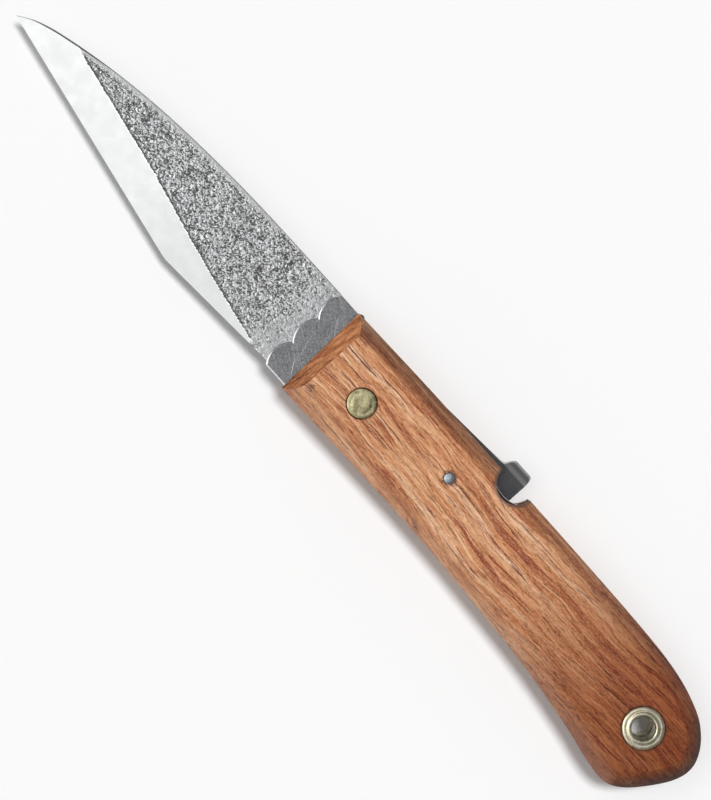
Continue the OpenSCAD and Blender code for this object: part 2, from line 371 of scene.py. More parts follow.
def wood(name, shift):
    """Red-brown hardwood: broad tone, wandering dark streaks, fine lines and pores, a darker
    butt, painted shade on the chamfers along the back and round the butt, painted light on
    the belly's round, marks of use, a dark ring round the eyelet, and painted shade round
    the pivot's head and on the thumb notch's rim."""
    k = Kit(name)
    mv = k.add("ShaderNodeMapping")
    mv.inputs["Location"].default_value = shift
    k.link(k.at, mv.inputs["Vector"])
    p = mv.outputs["Vector"]
    x, y = k.axis("X"), k.axis("Y")
    # The grain wanders: the streaks are drawn on a bent copy of the coordinates
    drift = k.noise(k.scaled((0.022, 0.04, 0.05), base=p), 1, 2, 0.5)
    ripple = k.noise(k.scaled((0.09, 0.2, 0.16), base=p), 1, 2, 0.5)
    bend = k.math("ADD", k.math("MULTIPLY", k.math("SUBTRACT", drift, 0.5), 5.5),
                  k.math("MULTIPLY", k.math("SUBTRACT", ripple, 0.5), 2.0))
    # and it sags between the thumb notch and the butt
    bend = k.math("ADD", bend, k.math("SUBTRACT", k.span(x, 14, 46, 0, 2.6),
                                      k.span(x, 50, 94, 0, 3.4)))
    comb = k.add("ShaderNodeCombineXYZ")
    k.link(k.axis("X", p), comb.inputs[0])
    k.link(k.math("ADD", k.axis("Y", p), bend), comb.inputs[1])
    k.link(k.axis("Z", p), comb.inputs[2])
    g = comb.outputs[0]

    def line(sx, sy, lo, hi, detail=3, warp=0.0, shift2=0.0):
        m = k.add("ShaderNodeMapping")
        m.inputs["Scale"].default_value = (sx, sy, sy * 0.7)
        m.inputs["Location"].default_value = (shift2, shift2 * 1.7, shift2 * 0.6)
        k.link(g, m.inputs["Vector"])
        return k.span(k.noise(m.outputs["Vector"], 1, detail, 0.6, warp), lo, hi)
    broad = k.noise(k.scaled((0.02, 0.26, 0.2), base=g), 1, 3, 0.55)
    bands = k.noise(k.scaled((0.035, 0.85, 0.5), base=g), 1, 4, 0.62)
    fine = k.noise(k.scaled((0.1, 3.4, 2.2), base=g), 1, 4, 0.7)
    wide = line(0.03, 0.42, 0.53, 0.66, 3, 0.3)
    streak = line(0.05, 1.0, 0.57, 0.655, 4, 0.5, 7.3)
    vein = line(0.05, 1.5, 0.59, 0.64, 3, 0.7, 19.1)
    dash = line(0.13, 1.8, 0.585, 0.65, 4, 0.5, 43.9)
    hair = line(0.2, 5.2, 0.57, 0.67, 3, 0.2, 3.7)
    pale = line(0.06, 1.3, 0.57, 0.72, 3, 0.2, 29.3)
    pore = k.span(k.noise(k.scaled((0.5, 10.5, 6), base=p), 1, 2, 0.5), 0.63, 0.7)
    fleck = k.noise(k.scaled((1.6, 2.8, 2.8), base=p), 1, 4, 0.65)
    tone = k.math("ADD", k.math("MULTIPLY", broad, 0.42),
                  k.math("ADD", k.math("MULTIPLY", bands, 0.38), k.math("MULTIPLY", fine, 0.2)))
    col = k.ramp(k.span(tone, 0.39, 0.61, soft=False),
                 (0.0, srgb(152, 76, 40)), (0.3, srgb(198, 125, 76)),
                 (0.6, srgb(228, 167, 120)), (1.0, srgb(252, 212, 176)))
    fibre = k.noise(k.scaled((0.8, 7.5, 5), base=p), 1, 3, 0.7)
    over = [(pale, 0.5, (244, 202, 164)), (wide, 0.5, (152, 72, 40)),
            (streak, 0.9, (144, 56, 28)), (dash, 0.8, (136, 52, 30)), (vein, 0.9, (104, 36, 24)),
            (hair, 0.6, (104, 54, 38)),
            (k.span(fleck, 0.45, 0.72), 0.35, (244, 200, 160)),
            (k.span(fleck, 0.5, 0.28), 0.35, (146, 80, 50)),
            (k.span(fibre, 0.5, 0.7), 0.4, (250, 206, 168)),
            (k.span(fibre, 0.5, 0.32), 0.45, (140, 76, 48))]
    for mask, amount, tint in over:
        col = k.mix(k.math("MULTIPLY", mask, amount), col, srgb(*tint))
    # Darker towards the butt
    rear = k.span(k.math("ADD", x, k.math("MULTIPLY", k.math("SUBTRACT", broad, 0.5), 46)), 40, 92)
    col = k.mix(rear, col, srgb(180, 143, 118), "MULTIPLY")
    col = k.mix(k.math("MULTIPLY", k.span(x, 80, 106), 0.4), col, srgb(198, 178, 164), "MULTIPLY")
    # Painted shade: the chamfers along the back and round the butt, turned from the light,
    # darkened, with dark hair lines on them
    shade = k.attribute("shade")
    grey = k.math("MULTIPLY", shade, k.math("ADD", k.span(x, 28, 44, 1.0, 0.6),
                                            k.span(x, 94, 104, 0.0, 0.6)))
    grey = k.math("MULTIPLY", grey, k.span(bands, 0.35, 0.65, 1.0, 0.8), True)
    col = k.mix(grey, col, srgb(130, 114, 102), "MULTIPLY")
    col = k.mix(k.math("MULTIPLY", k.math("MULTIPLY", hair, shade), 0.6), col, srgb(62, 36, 28))
    # Painted light: the belly's round, turned to the light, made paler
    col = k.mix(k.math("MULTIPLY", k.attribute("belly_light"), 0.2), col, srgb(238, 186, 156))
    # A smudge near the facet and chips round the scale pin, marks of use; a dark ring round the
    # eyelet; and painted shade in a ring round the pivot's head and on the thumb notch's rim
    for at, r0, r1, wild, tint, amount in (
            ((-9.9, -5.7), 0.25, 1.1, 3.2, (92, 70, 62), 0.75),
            (SCALE_PIN, 1.25, 2.0, 3.2, (96, 62, 48), 0.8),
            ((0, 0), 3.3, 3.85, 1.2, (112, 66, 46), 0.5),
            (EYELET, 4.8, 5.3, 1.0, (80, 48, 36), 0.6),
            (NOTCH, 4.75, 5.25, 0.6, (92, 68, 60), 0.75)):
        edge = k.math("ADD", k.distance(at),
                      k.math("MULTIPLY", k.math("SUBTRACT", fleck, 0.5), wild))
        col = k.mix(k.span(edge, r1, r0, 0.0, amount), col, srgb(*tint))
    col = k.mix(k.math("MULTIPLY", pore, 0.6), col, srgb(84, 38, 24))
    rough = k.math("ADD", k.span(fine, 0.3, 0.7, 0.42, 0.58), k.math("MULTIPLY", pore, 0.2))
    k.bump((pore, -0.05), (hair, -0.03), (fine, 0.035), (fleck, 0.02))
    return k.finish(col, rough, 0.0, Specular_IOR_Level=0.35)


def end_grain(name):
    """The facet at the front: cut across the grain, darker and redder at the belly's end."""
    k = Kit(name)
    y = k.axis("Y")
    fleck = k.noise(k.scaled((1.6, 2.8, 2.8)), 1, 4, 0.65)
    wander = k.noise(k.turned(5, (1.3, 0.16, 0.6)), 1, 4, 0.62, 0.5)
    across = k.noise(k.turned(8, (4.2, 0.3, 1.6)), 1, 3, 0.6, 0.3)
    col = k.mix(k.span(wander, 0.36, 0.64), srgb(156, 84, 48), srgb(226, 156, 104))
    low = k.span(y, 3, -9.5)
    streak = k.math("MULTIPLY", k.span(across, 0.5, 0.6), k.span(y, 9, -5, 0.2, 1.0))
    col = k.mix(streak, col, srgb(104, 44, 28))
    col = k.mix(k.math("MULTIPLY", k.span(across, 0.42, 0.3), 0.6), col, srgb(226, 160, 110))
    col = k.mix(k.math("MULTIPLY", low, 0.5), col, srgb(170, 130, 110), "MULTIPLY")
    col = k.mix(k.math("MULTIPLY", k.span(fleck, 0.4, 0.7), 0.3), col, srgb(230, 170, 120))
    col = k.mix(k.math("MULTIPLY", k.span(fleck, 0.5, 0.28), 0.4), col, srgb(128, 68, 42))
    k.bump((across, 0.03), (fleck, 0.02))
    return k.finish(col, k.span(fleck, 0.3, 0.7, 0.45, 0.62), 0.0, Specular_IOR_Level=0.3)


def steel(name, light, dark, rough, turn=0.0, grain=0.05, scratches=0.0, metal=1.0, mottle=0.5,
          more=None):
    """Ground steel: grain lines along one direction, a slow change of tone, and scratches."""
    k = Kit(name)
    lines = k.noise(k.turned(turn, (0.12, 7.0, 7.0)), 1, 4, 0.7)
    cloud = k.noise(k.at, 0.35, 4, 0.6)
    speck = k.noise(k.at, 5.0, 3, 0.65)
    f = k.math("ADD", k.math("MULTIPLY", lines, 0.45),
               k.math("ADD", k.math("MULTIPLY", cloud, mottle * 0.7),
                      k.math("MULTIPLY", speck, 0.55 - mottle * 0.7 + 0.3)))
    col = k.ramp(k.span(f, 0.5, 0.8, soft=False), (0.0, dark), (1.0, light))
    rgh = k.span(cloud, 0.3, 0.7, rough - 0.05, rough + 0.07)
    if scratches:
        for turn2, sx in ((63, 0.05), (52, 0.08), (118, 0.06)):
            s = k.span(k.noise(k.turned(turn2, (sx, 4.6, 1.0)), 1, 1, 0.4), 0.735, 0.775)
            gate = k.span(k.noise(k.at, 0.16, 1, 0.5), 0.45, 0.6)
            col = k.mix(k.math("MULTIPLY", k.math("MULTIPLY", s, gate), scratches), col,
                        srgb(214, 216, 218))
    if more:
        col = more(k, col)
    k.bump((lines, grain * 0.06), (speck, 0.006))
    return k.finish(col, rgh, metal)


def tab_tone_and_highlight(k, col):
    """The thumb tab: paler than the leaf, with a painted highlight along its bend."""
    y = k.math("ADD", k.axis("Y"), k.math("MULTIPLY", k.noise(k.scaled((0.2, 4, 4)), 1, 2), 0.15))
    col = k.mix(k.span(y, 14.15, 14.4, 0.0, 0.95), col, srgb(150, 150, 151))
    # A painted highlight along the bend
    bend_highlight = k.math("MULTIPLY", k.span(y, 14.25, 14.6), k.span(y, 15.7, 15.0))
    return k.mix(bend_highlight, col, srgb(196, 196, 197))


def notch_shade_and_scratches(k, col):
    """The near liner: painted shade, with a painted highlight on its edge, in the thumb notch, two
    scratches on the bolster.
    """
    # Painted shade on the liner inside the thumb notch, and a painted highlight along the liner
    # notch's edge
    near = k.span(k.distance(NOTCH), 5.2, 4.9)
    dark = k.mix(k.span(k.distance(LINER_NOTCH), 7.2, 7.05), srgb(70, 60, 56), srgb(236, 226, 222))
    col = k.mix(near, col, dark)
    x, y = k.axis("X"), k.axis("Y")
    for (x0, y0), (x1, y1), width, amount in (((-18.1, 1.0), (-16.3, -3.6), 0.09, 0.5),
                                              ((-16.9, -4.4), (-14.5, -7.6), 0.13, 0.8)):
        turn = math.atan2(y1 - y0, x1 - x0)
        c, s = math.cos(turn), math.sin(turn)
        along = k.math("ADD", k.math("MULTIPLY", x, c), k.math("MULTIPLY", y, s))
        off = k.math("SUBTRACT", k.math("MULTIPLY", y, c), k.math("MULTIPLY", x, s))
        off = k.math("ABSOLUTE", k.math("SUBTRACT", off, y0 * c - x0 * s))
        a0, a1 = x0 * c + y0 * s, x1 * c + y1 * s
        line = k.math("MULTIPLY", k.span(off, width, 0.03),
                      k.math("MULTIPLY", k.span(along, a0, a0 + 1), k.span(along, a1, a1 - 1)))
        col = k.mix(k.math("MULTIPLY", line, amount), col, srgb(232, 232, 230))
    return col


MAT = {}
MAT["near_wood"] = wood("near_wood", (0, 0, 0))
MAT["far_wood"] = wood("far_wood", (140, 37, 55))
MAT["facet"] = end_grain("facet_wood")
MAT["rim"] = steel("liner_rim", srgb(240, 241, 242), srgb(210, 211, 212), 0.28, 28, 0.05)
LINER = (srgb(190, 191, 193), srgb(66, 67, 70), 0.36, 28, 0.3, 1.0)
MAT["liner"] = steel("liner_ground", *LINER, mottle=0.3)
MAT["near_liner"] = steel("liner_ground_near", *LINER, mottle=0.3, more=notch_shade_and_scratches)
MAT["leaf"] = steel("leaf_dark", srgb(106, 107, 110), srgb(62, 63, 65), 0.36, 90, 0.1, 0.15, 0.7,
                    more=tab_tone_and_highlight)
MAT["spine"] = steel("blade_spine", srgb(150, 151, 153), srgb(104, 105, 107), 0.34, 0, 0.1, 0.2)
MAT["pin"] = steel("pin_bright", srgb(200, 208, 216), srgb(140, 150, 160), 0.22, 20, 0.06)
MAT["blade_flat"] = steel("blade_ground", srgb(222, 223, 223), srgb(176, 177, 178), 0.3, 0,
                          0.08, 0.4)
MAT["bevel"] = steel("blade_bevel", srgb(246, 248, 248), srgb(238, 240, 240), 0.17, 80, 0.03,
                     0.12, mottle=0.2)


def brass(name, light, dark, rough):
    """Brass with a cloudy tone, specks and rubbed lines."""
    k = Kit(name)
    cloud = k.noise(k.at, 0.7, 4, 0.6, 0.8)
    speck = k.noise(k.at, 6.0, 3, 0.65)
    rub = k.noise(k.turned(35, (0.5, 6.0, 6.0)), 1, 3, 0.6)
    f = k.math("ADD", k.math("MULTIPLY", cloud, 0.6),
               k.math("ADD", k.math("MULTIPLY", rub, 0.25), k.math("MULTIPLY", speck, 0.15)))
    col = k.ramp(k.span(f, 0.36, 0.64, soft=False), (0.0, dark), (1.0, light))
    k.bump((speck, 0.01), (rub, 0.006))
    return k.finish(col, k.span(cloud, 0.3, 0.7, rough - 0.06, rough + 0.08), 1.0)


MAT["rivet"] = brass("rivet_dull", srgb(236, 227, 180), srgb(116, 108, 74), 0.26)
MAT["eyelet"] = brass("eyelet_pale", srgb(252, 245, 222), srgb(208, 197, 160), 0.22)
MAT["washer"] = brass("washer_plain", srgb(206, 160, 96), srgb(150, 108, 60), 0.35)


def hammered():
    """The forged skin: bright patches painted in as highlights, dark scale in the pits, plain
    towards the handle.
    """
    k = Kit("blade_hammered")
    pit = k.attribute("pit")
    speck = k.noise(k.at, 3.4, 4, 0.7, 0.4)
    grit = k.noise(k.at, 9.0, 3, 0.7)
    lines = k.noise(k.turned(4, (0.1, 5.0, 5.0)), 1, 4, 0.7)
    col = k.ramp(k.span(k.math("ADD", k.math("MULTIPLY", speck, 0.6),
                               k.math("MULTIPLY", lines, 0.4)), 0.36, 0.64, soft=False),
                 (0.0, srgb(176, 177, 178)), (1.0, srgb(222, 223, 224)))
    forged = k.attribute("forged")
    nick = k.math("MULTIPLY", forged, k.span(k.noise(k.turned(38, (1.5, 3.0, 1)), 1, 3, 0.65, 0.6),
                                             0.545, 0.62))
    dark = k.math("MAXIMUM", k.math("MULTIPLY", k.span(pit, 0.15, 0.7, 0.0, 0.92),
                                    k.span(grit, 0.3, 0.6, 0.7, 1.0)),
                  k.math("MULTIPLY", nick, 0.72))
    col = k.mix(k.math("MULTIPLY", forged, 0.85), col, srgb(240, 241, 242))
    # Painted highlights: random patches of the forged skin lightened towards white
    high = k.noise(k.scaled((1.9, 1.9, 1)), 1, 3, 0.6)
    bright = k.math("MULTIPLY", forged, k.span(high, 0.52, 0.68))
    col = k.mix(k.math("MULTIPLY", bright, 0.7), col, srgb(246, 247, 248))
    col = k.mix(dark, col, srgb(84, 84, 86))
    rough = k.math("ADD", k.span(speck, 0.3, 0.7, 0.25, 0.35), k.math("MULTIPLY", dark, 0.35))
    k.bump((grit, 0.02), (speck, 0.05), (lines, 0.01), (nick, -0.06))
    return k.finish(col, rough, 1.0)


MAT["hammered"] = hammered()


def dress(ob, *names):
    """Gives ob materials, one slot each."""
    ob.data.materials.clear()
    for n in names:
        ob.data.materials.append(MAT[n].mat)


# ---------------------------------------------------------------- scales

# Along the back and the butt the edge is a broad flat chamfer; along the belly it rises in a
# curve from (0, 1.5) towards (2.6, 5) and on to (5.5, 5), as distance in and height
CHAMFER_W, CHAMFER_H, ROUND = 3.6, 3.4, ((0, 3.5), (2.6, 0), (5.5, 0))
# The way the back faces, away from the light: edges turned this way get the painted shade, edges
# turned against it the painted light
AWAY = Vector((0.5, 0.87))
# The curve swings a little past its points, and is held inside the CAD outline
handle_curve = [Vector((min(p.x, 106.0), max(p.y, -15.24))) for p in smooth(HANDLE, 8)]


def clamp01(v):
    return max(0.0, min(1.0, v))


def ease(v, a, b):
    t = clamp01((v - a) / (b - a))
    return t * t * (3 - 2 * t)


def light_and_shade_marks(ob):
    """Marks, for painted shade, how far each point lies on the back's and the butt's chamfer
    ("shade"), turned from the light, and, for painted light, on the belly's round ("worn"),
    turned to it, from 0 on the flat to 1 on the side."""
    ring = np.array([p[:] for p in handle_curve + [handle_curve[0]]])
    a, d = ring[:-1], np.diff(ring, axis=0)
    at = np.array([(v.co.x / MM - PX, v.co.y / MM - PY) for v in ob.data.vertices])
    t = np.clip(((at[:, None] - a) * d).sum(2) / (d * d).sum(1), 0, 1)
    gap = np.linalg.norm(at[:, None] - a - t[..., None] * d, axis=2)
    gap[:, -1] = 99.0
    k = gap.argmin(1)
    near, out = gap[np.arange(len(at)), k], np.stack([d[k, 1], -d[k, 0]], 1)
    out /= np.linalg.norm(out, axis=1)[:, None]
    toward = out @ np.array(AWAY)
    edge = np.clip(1.06 - near / CHAMFER_W, 0, 1)
    edge = edge ** 0.6 * (edge > 0.09)
    butt = np.clip((out[:, 0] - 0.3) / 0.3, 0, 1)
    for name, v in (("shade", edge * np.maximum(np.clip((toward + 0.2) / 0.75, 0, 1), butt)),
                    ("belly_light", edge * np.clip((-toward - 0.2) / 0.5, 0, 1) * (1 - butt))):
        ob.data.attributes.new(name, "FLOAT", "POINT").data.foreach_set(
            "value", v.astype(np.float32))


def scale(name, side, lip_depth, head_depth):
    """One wooden scale. side is 1 for the near one and -1 for the far one."""
    base = NEAR_0 if side > 0 else FAR_1

    def up(h):
        return base + side * h
    # The front is left long here, and the facet's cutter takes it off
    long = [Vector(p) for p in handle_curve]
    long[0] = Vector((-21, HANDLE[0][1] - 0.1))
    long[-1] = Vector((-21, HANDLE[-1][1] - 0.1))
    inward = [q - p for p, q in zip(long, inset(long, 1))]
    flatness = [ease(-d.normalized().dot(AWAY), -0.25, 0.35) for d in inward]
    flatness[0], flatness[-1] = 0.0, 1.0
    rings = [[(*(p + 0.2 * d), up(0)) for p, d in zip(long, inward)],
             [(*p, up(0.2)) for p in long]]
    steps = 14
    for i in range(steps + 1):
        t = i / steps
        q = ((1 - t) ** 2, 2 * t * (1 - t), t * t)
        round_w, round_h = (sum(b * c[j] for b, c in zip(q, ROUND)) for j in (0, 1))
        bulge = 0.16 * math.sin(math.pi * t)
        ring = []
        for p, d, f in zip(long, inward, flatness):
            w = f * (CHAMFER_W * t - bulge) + (1 - f) * round_w
            h = f * (CHAMFER_H * (1 - t) - bulge) + (1 - f) * round_h
            ring.append((*(p + w * d), up(SCALE_T - h)))
        rings.append(ring)
    ob = piece(name, stack(bmesh.new(), rings))

    def bore(at, *steps, n=96):
        """A cutter turned from (radius, height above the inner face) steps."""
        pr = [(0, up(steps[0][1]))] + [(r, up(h)) for r, h in steps] + [(0, up(steps[-1][1]))]
        return piece("cutter", lathe(bmesh.new(), at, pr, n))
    t = SCALE_T
    front = bmesh.new()
    lines = [(-30, -1), (-14.42, -1), (-14.42, 1.3), (-14.36, 1.45), (-10.95, t + 0.1),
             (-30, t + 0.1)]
    skew = [-0.039, -0.039, -0.039, -0.036, -0.01, 0]
    rows = [[(x + s * y, y, up(h)) for (x, h), s in zip(lines, skew)] for y in (-30, 30)]
    stack(front, rows)
    rim = [(NOTCH_R + d, h) for d, h in ((0.3, -1), (0.3, 0), (-0.3, 0.6), (-0.3, t - 1.4),
                                         (-0.18, t - 0.9), (0.02, t - 0.5), (0.35, t),
                                         (0.7, t + 1))]
    cut(ob, piece("cutter", front),
        bore(NOTCH, *rim, n=128),
        bore((0, 0), (PIVOT_R, -1), (PIVOT_R, t - head_depth), (HEAD_R + 0.18, t - head_depth),
             (HEAD_R + 0.18, t - 0.12), (HEAD_R + 0.3, t + 0.02), (HEAD_R + 0.3, t + 1)),
        bore(SCALE_PIN, (SCALE_PIN_R, -1), (SCALE_PIN_R, t - 0.25), (SCALE_PIN_R + 0.2, t + 0.02),
             (SCALE_PIN_R + 0.2, t + 1), n=48),
        bore(EYELET, (TUBE_R, -1), (TUBE_R, t - lip_depth), (LIP_R + 0.06, t - lip_depth),
             (LIP_R + 0.06, t - 0.12), (LIP_R + 0.22, t + 0.02), (LIP_R + 0.22, t + 1)))
    tidy(ob, 24)
    light_and_shade_marks(ob)
    dress(ob, "near_wood" if side > 0 else "far_wood", "facet")
    for f in ob.data.polygons:
        if f.normal.x < -0.5 and f.center.x / MM - PX < -10.8 and abs(f.normal.z) > 0.3:
            f.material_index = 1
    settle(ob, "handle", "scale_wood", "near_scale" if side > 0 else "far_scale")


scale("near_scale_wood", 1, 0.5, 1.3)
scale("far_scale_wood", -1, 1.0, 1.55)

# ---------------------------------------------------------------- liners

SCALLOP_X, SCALLOP_R, SCALLOPS = -16.1, 5.4, (-6.2, 1.45, 8.9)
LINER_EDGE = 0.36


def liner(name, z0, notch, extra, node):
    """A liner with its scalloped bolster. notch is the thumb notch's centre and radius."""
    curve = inset(handle_curve, 0.15)
    s = SCALLOPS

    def turn(dy):
        return math.degrees(math.asin(dy / SCALLOP_R))
    top, low = 12.4, -9.9
    half = [(s[1] - s[0]) / 2, (s[2] - s[1]) / 2]
    front = [Vector((curve[-1].x, top))]
    front += arc((SCALLOP_X, s[2]), SCALLOP_R, 180 - turn(top - s[2]), 180 + turn(half[1]), 22)
    front += arc((SCALLOP_X, s[1]), SCALLOP_R, 180 - turn(half[1]), 180 + turn(half[0]), 22)[1:]
    front += arc((SCALLOP_X, s[0]), SCALLOP_R, 180 - turn(half[0]), 180 + turn(s[0] - low), 22)[1:]
    front += [Vector((curve[0].x, low))]
    ob = piece(name, plate(curve + front, z0, z0 + LINER_T, LINER_EDGE))
    cutters = [rod(at, r, z0 - 1, z0 + LINER_T + 1, 96 if r > 2 else 40)
               for at, r in [notch, ((0, 0), PIVOT_R), (STOP, PIN_R), (SCALE_PIN, SCALE_PIN_R),
                             (EYELET, TUBE_R), (SPACER_PINS[0], PIN_R), (SPACER_PINS[1], PIN_R)]]
    cut(ob, *cutters, *extra)
    tidy(ob, 18)
    dress(ob, "near_liner" if node == "near_liner" else "liner", "rim")
    for f in ob.data.polygons:
        if 0.3 < abs(f.normal.z) < 0.97 and f.center.x / MM - PX < -15.5:
            f.material_index = 1
    settle(ob, "handle", "liner_steel", node)


LEAF = [(6, 9.81), (9, 9), (33.6, 9), (34.9, 8.2), (35.7, 6.2), (37.4, 4.8), (44, 4.8),
        (44, 12.3), (40.8, 12.3), (39.6, 11), (38.4, 9.6), (37.1, 9.3)]
BEND_Y, BEND_R, BEND_DEG = 14.35, 1.3, 38
far_liner_z, near_liner_z = level("far_liner", False), level("near_liner", False)
window = inset([Vector(p) for p in LEAF], -0.25)[:8] + [Vector(p) for p in
               ((40.6, 12.55), (39.5, 14), (5.75, 14))]
window_cut = piece("cutter", stack(bmesh.new(), [flat(window, far_liner_z - 1),
                                                 flat(window, far_liner_z + 2)]))
liner("near_liner_plate", near_liner_z, (LINER_NOTCH, LINER_NOTCH_R), [], "near_liner")
liner("far_liner_plate", far_liner_z, (NOTCH, NOTCH_R), [window_cut], "far_liner")

# ---------------------------------------------------------------- lock leaf


def leaf():
    """The leaf is cut flat with its tab unrolled, then the tab is bent up."""
    z0, z1 = level("lock_leaf", False), far_liner_z + LINER_T
    mid, t = (z0 + z1) / 2, z1 - z0
    bend, r = math.radians(BEND_DEG), BEND_R
    tab = [(37.1, BEND_Y), (37.0, 15.6), (36.8, 16.5), (36.4, 17.05), (36.0, 17.16), (32.2, 17.16),
           (31.6, 17.0), (31.1, 16.3), (30.65, 15.3), (30.4, 14.75), (29.9, 14.45), (29.2, 14.28)]
    pts = [Vector(p) for p in LEAF] + [Vector(p) for p in tab] + [Vector((6, 12.75))]
    bm = plate(pts, z0, z1, 0.1)
    start = BEND_Y - r * bend / 2
    for i in range(9):
        y = start + r * bend * i / 8
        bmesh.ops.bisect_plane(bm, geom=bm.verts[:] + bm.edges[:] + bm.faces[:],
                               plane_co=(0, y, 0), plane_no=(0, 1, 0), dist=1e-5)
    for v in bm.verts:
        s = v.co.y - start
        if s > 0:
            a = min(s / r, bend)
            rest = max(s - r * bend, 0)
            h = v.co.z - mid
            v.co.y = start + r * math.sin(a) + rest * math.cos(a) - h * math.sin(a)
            v.co.z = mid + r * (1 - math.cos(a)) + rest * math.sin(a) + h * math.cos(a)
    ob = piece("lock_leaf_spring", bm)
    tidy(ob, 25)
    dress(ob, "leaf")
    settle(ob, "lock_leaf", "leaf_steel", "lock_leaf")


leaf()

# ---------------------------------------------------------------- blade

HEEL, RICASSO_LOW, TANG_LOW = (-52, -11.1), (-20, -9.1), -8.6
EDGE_T, BEVEL_TOP = 0.15, BLADE_1 - 0.13
BEVEL_FALL = BEVEL_TOP - BLADE_0 - EDGE_T
TANG_R, BORE_R = 12.6, 2.45
# Where the forged skin and the bevel end, towards the handle
SKIN_END, BEVEL_END = -18, -26
spine_curve = smooth(SPINE, 12)[::-1]
spine_x = np.array([p.x for p in spine_curve])
spine_y = np.array([p.y for p in spine_curve])


def y_low(x):
    """The lower edge: the cutting edge, the heel with its small round, the ricasso, the tang."""
    edge = HEEL[1] * (x - TIP_X) / (HEEL[0] - TIP_X)
    rise = HEEL[1] + (RICASSO_LOW[1] - HEEL[1]) * (x - HEEL[0]) / (RICASSO_LOW[0] - HEEL[0])
    d = edge - rise
    y = 0.5 * (edge + rise + math.sqrt(d * d + 0.03))
    return min(TANG_LOW, y) if x > -18 else y


def y_high(x):
    """The upper edge: the spine, the stop pin's notch, and the tang with its lock face."""
    if x < -15.2:
        return float(np.interp(x, spine_x, spine_y))
    if x < -12.6:
        return STOP[1] - math.sqrt(max(1.3 ** 2 - (x - STOP[0]) ** 2, 0.0)) if x > -15.19 else 11.9
    if x < -7.35:
        return 10.4 - 0.3 * (x + 13) / 5.6
    return min(math.sqrt(max(TANG_R ** 2 - x * x, 0)), 8.85 + (9 - x) * math.tan(math.radians(15)))


def from_edge(x, y):
    """Distance from the cutting edge's line."""
    return 0.179 * (x - TIP_X) + 0.984 * y


def bevel_width(x):
    """How far the bevel reaches from the cutting edge."""
    return 8.0 - ease(x, -72, -40)


def pit_at(x, y):
    """The forged skin at a point: how deeply it is pitted, from 0 to 1, its small waves in
    millimetres, how far it stands back from the bevel, and how forged it is."""
    if x >= SKIN_END:
        return 0.0, 0.0, 1.0, 0.0
    q = Vector((x, y, 0))
    w = q + 0.42 * noise.noise_vector(q * 1.2 + Vector((7, 3, 1)))
    a = noise.noise(w * 0.62 + Vector((0, 0, 4.2)))
    b = noise.noise(w * 1.75 + Vector((31, 11, 2.7)))
    c = noise.noise(w * 3.6 + Vector((5, 17, 9.1)))
    d = noise.noise(w * 2.6 + Vector((13, 41, 6.3)))
    blotch = ease(0.7 * a + 0.6 * b + 0.6 * c, 0.33, 0.66)
    crease = (1 - ease(abs(b + 0.3 * c), 0.015, 0.17)) * ease(a + 0.5 * c, -0.2, 0.2)
    nick = (1 - ease(abs(d + 0.2 * c), 0.01, 0.14)) * ease(0.5 * b - a + 0.4 * c, -0.1, 0.25)
    fine = noise.noise(w * 3.1 + Vector((61, 23, 5.5)))
    v = max(blotch, 0.85 * crease, 0.7 * nick, 0.8 * ease(0.8 * fine + 0.4 * c, 0.16, 0.38))
    # Bare along the spine, fewer pits towards the handle, and a dark fringe along the bevel
    border = ease(y_high(x) - y, 0.3, 1.5) if x < -40 else ease(y_high(x) - y, 0.0, 0.6)
    thin = 1 - 0.95 * ease(x + 6 * a + 4 * b + 3 * c + 0.25 * max(0.0, -y), -29, -17.5)
    inland = from_edge(x, y) - bevel_width(x)
    shore = 0.6 + 0.4 * ease(inland, 0.0, 1.1)
    keep = border * thin
    wave = (0.075 * b + 0.05 * c + 0.035 * d) * border * (0.25 + 0.75 * thin) * shore
    fringe = 0.6 * (1 - ease(inland + 0.4 * c, 0.05, 0.9))
    return max(v, fringe) * keep, wave, shore, keep


def bevel_plane(x, y):
    """The height of the bevel's ground plane."""
    return BEVEL_TOP - BEVEL_FALL * (1 - from_edge(x, y) / bevel_width(x))


